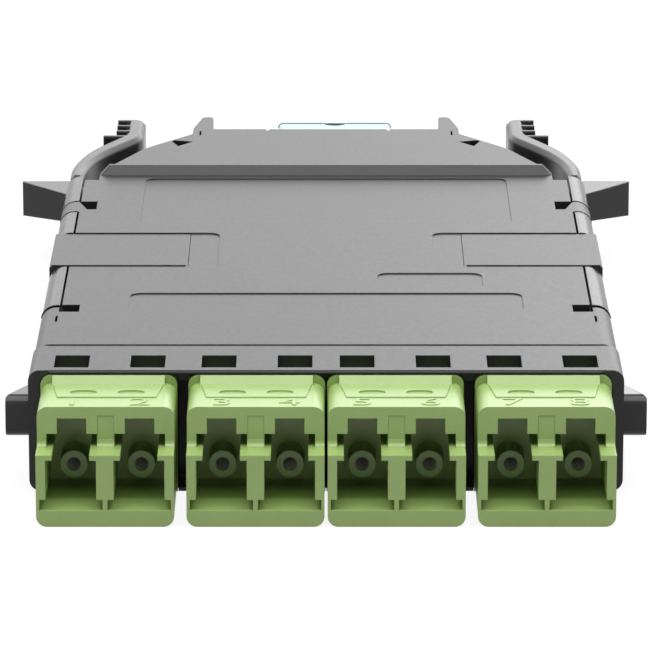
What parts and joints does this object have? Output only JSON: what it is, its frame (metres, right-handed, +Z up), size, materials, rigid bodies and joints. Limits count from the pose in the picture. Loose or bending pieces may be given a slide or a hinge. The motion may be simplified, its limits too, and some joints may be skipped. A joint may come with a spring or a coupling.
{
  "type": "fibre cassette",
  "caption": "Flat breakout cassette for structured cabling: duplex LC adapters in a front frame, one MPO adapter behind, finger latch arms at the sides.",
  "frame": {"origin": "centre of the footprint, on the underside", "axes": "+Z up, -Y towards the LC adapters, +Y towards the MPO adapter, +X to the right as seen from the LC adapters"},
  "size_m": [0.0664, 0.1154, 0.0126],
  "materials": {
    "black_plastic": "satin moulded, fine grain",
    "lime_plastic": "smooth moulded",
    "ceramic": "polished zirconia",
    "plug_plastic": "smooth moulded",
    "boot_rubber": "matte",
    "fibre_jacket": "satin jacket",
    "aqua_plastic": "smooth moulded",
    "dark_plastic": "satin moulded",
    "pin_steel": "ground"
  },
  "bodies": {
    "cassette": {"front_frame": "black_plastic", "base_shell": "black_plastic", "cover": "black_plastic", "side_clip_left": "black_plastic", "side_clip_right": "black_plastic", "adapter_front_1": "lime_plastic", "adapter_front_2": "lime_plastic", "adapter_front_3": "lime_plastic", "adapter_front_4": "lime_plastic", "adapter_rear_1": "lime_plastic", "adapter_rear_2": "lime_plastic", "adapter_rear_3": "lime_plastic", "adapter_rear_4": "lime_plastic", "split_sleeves_1": "ceramic", "split_sleeves_2": "ceramic", "split_sleeves_3": "ceramic", "split_sleeves_4": "ceramic", "lc_plug_1": "plug_plastic", "lc_plug_2": "plug_plastic", "lc_plug_3": "plug_plastic", "lc_plug_4": "plug_plastic", "lc_plug_5": "plug_plastic", "lc_plug_6": "plug_plastic", "lc_plug_7": "plug_plastic", "lc_plug_8": "plug_plastic", "lc_ferrule_1": "ceramic", "lc_ferrule_2": "ceramic", "lc_ferrule_3": "ceramic", "lc_ferrule_4": "ceramic", "lc_ferrule_5": "ceramic", "lc_ferrule_6": "ceramic", "lc_ferrule_7": "ceramic", "lc_ferrule_8": "ceramic", "lc_boot_1": "boot_rubber", "lc_boot_2": "boot_rubber", "lc_boot_3": "boot_rubber", "lc_boot_4": "boot_rubber", "lc_boot_5": "boot_rubber", "lc_boot_6": "boot_rubber", "lc_boot_7": "boot_rubber", "lc_boot_8": "boot_rubber", "fibre_1": "fibre_jacket", "fibre_2": "fibre_jacket", "fibre_3": "fibre_jacket", "fibre_4": "fibre_jacket", "fibre_5": "fibre_jacket", "fibre_6": "fibre_jacket", "fibre_7": "fibre_jacket", "fibre_8": "fibre_jacket", "mpo_adapter_outer": "aqua_plastic", "mpo_adapter_inner": "aqua_plastic", "mpo_plug": "dark_plastic", "mt_ferrule": "dark_plastic", "guide_pins": "pin_steel", "mpo_boot": "boot_rubber", "trunk": "fibre_jacket", "transition_block": "dark_plastic"},
    "latch_left": {"latch_arm_left": "black_plastic"},
    "latch_right": {"latch_arm_right": "black_plastic"}
  },
  "joints": [
    {"name": "latch_left_flex", "type": "hinge", "parent": "cassette", "child": "latch_left", "pos_m": [-0.02663, 0.03055, 0], "axis": [0, 0, -1], "range_deg": [0, 12], "stiffness_Nm_per_rad": 0.6},
    {"name": "latch_right_flex", "type": "hinge", "parent": "cassette", "child": "latch_right", "pos_m": [0.02663, 0.03055, 0], "axis": [0, 0, 1], "range_deg": [0, 12], "stiffness_Nm_per_rad": 0.6}
  ]
}
